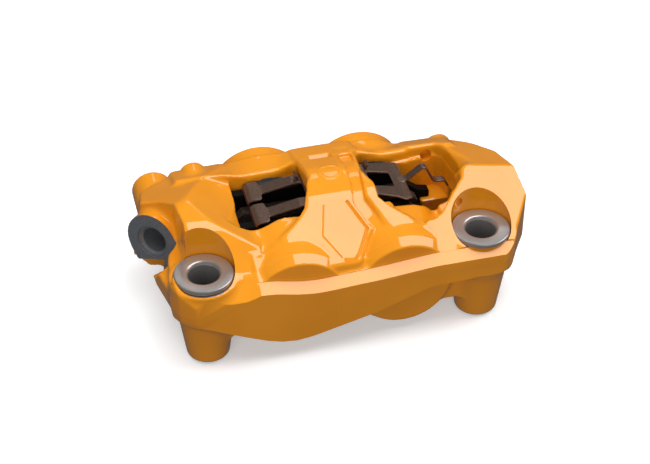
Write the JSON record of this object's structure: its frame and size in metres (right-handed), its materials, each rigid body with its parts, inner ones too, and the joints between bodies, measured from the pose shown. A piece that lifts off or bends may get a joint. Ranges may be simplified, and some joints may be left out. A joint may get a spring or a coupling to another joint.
{
  "type": "brake caliper",
  "caption": "Radial-mount fixed motorcycle brake caliper: one-piece body with opposed pistons, sliding pads, sheet pad spring, bolt bushes and bleed screw.",
  "frame": {"origin": "on the plane that bolts to the fork, midway between the two bolt axes along the caliper, in the middle plane of the brake disc; it is also the centre of the bounding box's bottom", "axes": "+X along the caliper from the hose end to the other end, +Y from the outer face (the side seen on the bike) towards the wheel, +Z away from the fork plane, radially out from the disc's axis"},
  "size_m": [0.1404, 0.079, 0.05],
  "materials": {
    "orange_paint": "gloss orange paint on an aluminium casting; bare machined metal on the hose port face and in the bores",
    "bush_steel": "turned, bare",
    "anodised_piston": "hard anodised grey",
    "seal_rubber": "matte",
    "black_backing_plate": "black powder coat",
    "friction_material": "rough sintered compound",
    "bronzed_spring_steel": "bronze-brown satin",
    "pin_steel": "ground",
    "plated_steel": "zinc plated",
    "cap_rubber": "matte"
  },
  "bodies": {
    "caliper": {"caliper_body": "orange_paint", "mount_bush_left": "bush_steel", "mount_bush_right": "bush_steel", "pressure_seal_front_left": "seal_rubber", "pressure_seal_front_right": "seal_rubber", "pressure_seal_rear_left": "seal_rubber", "pressure_seal_rear_right": "seal_rubber", "dust_seal_front_left": "seal_rubber", "dust_seal_front_right": "seal_rubber", "dust_seal_rear_left": "seal_rubber", "dust_seal_rear_right": "seal_rubber", "pad_spring": "bronzed_spring_steel", "pad_pin": "pin_steel", "gallery_plug": "plated_steel"},
    "pad_front": {"pad_plate_front": "black_backing_plate", "pad_lining_front": "friction_material"},
    "pad_rear": {"pad_plate_rear": "black_backing_plate", "pad_lining_rear": "friction_material"},
    "piston_front_left": {"piston_front_left": "anodised_piston"},
    "piston_front_right": {"piston_front_right": "anodised_piston"},
    "piston_rear_left": {"piston_rear_left": "anodised_piston"},
    "piston_rear_right": {"piston_rear_right": "anodised_piston"},
    "bleed_screw": {"bleed_screw": "plated_steel"},
    "bleed_cap": {"bleed_cap": "cap_rubber"}
  },
  "joints": [
    {"name": "pad_front_slide", "type": "slide", "parent": "caliper", "child": "pad_front", "axis": [0, 1, 0], "range_m": [0, 0.0026]},
    {"name": "pad_rear_slide", "type": "slide", "parent": "caliper", "child": "pad_rear", "axis": [0, -1, 0], "range_m": [0, 0.0026]},
    {"name": "piston_front_left_slide", "type": "slide", "parent": "caliper", "child": "piston_front_left", "axis": [0, 1, 0], "range_m": [0, 0.0026]},
    {"name": "piston_front_right_slide", "type": "slide", "parent": "caliper", "child": "piston_front_right", "axis": [0, 1, 0], "range_m": [0, 0.0026]},
    {"name": "piston_rear_left_slide", "type": "slide", "parent": "caliper", "child": "piston_rear_left", "axis": [0, -1, 0], "range_m": [0, 0.0026]},
    {"name": "piston_rear_right_slide", "type": "slide", "parent": "caliper", "child": "piston_rear_right", "axis": [0, -1, 0], "range_m": [0, 0.0026]},
    {"name": "bleed_screw_turn", "type": "hinge", "parent": "caliper", "child": "bleed_screw", "pos_m": [-0.054, 0.02, 0.015], "axis": [0, 1, 0], "range_deg": [0, 180]},
    {"name": "bleed_cap_pull", "type": "slide", "parent": "bleed_screw", "child": "bleed_cap", "axis": [0, 1, 0], "range_m": [0, 0.012]}
  ],
  "couplings": [
    {"joint": "piston_front_left_slide", "follows": "pad_front_slide", "ratio": 1},
    {"joint": "piston_front_right_slide", "follows": "pad_front_slide", "ratio": 1},
    {"joint": "piston_rear_left_slide", "follows": "pad_rear_slide", "ratio": 1},
    {"joint": "piston_rear_right_slide", "follows": "pad_rear_slide", "ratio": 1}
  ]
}
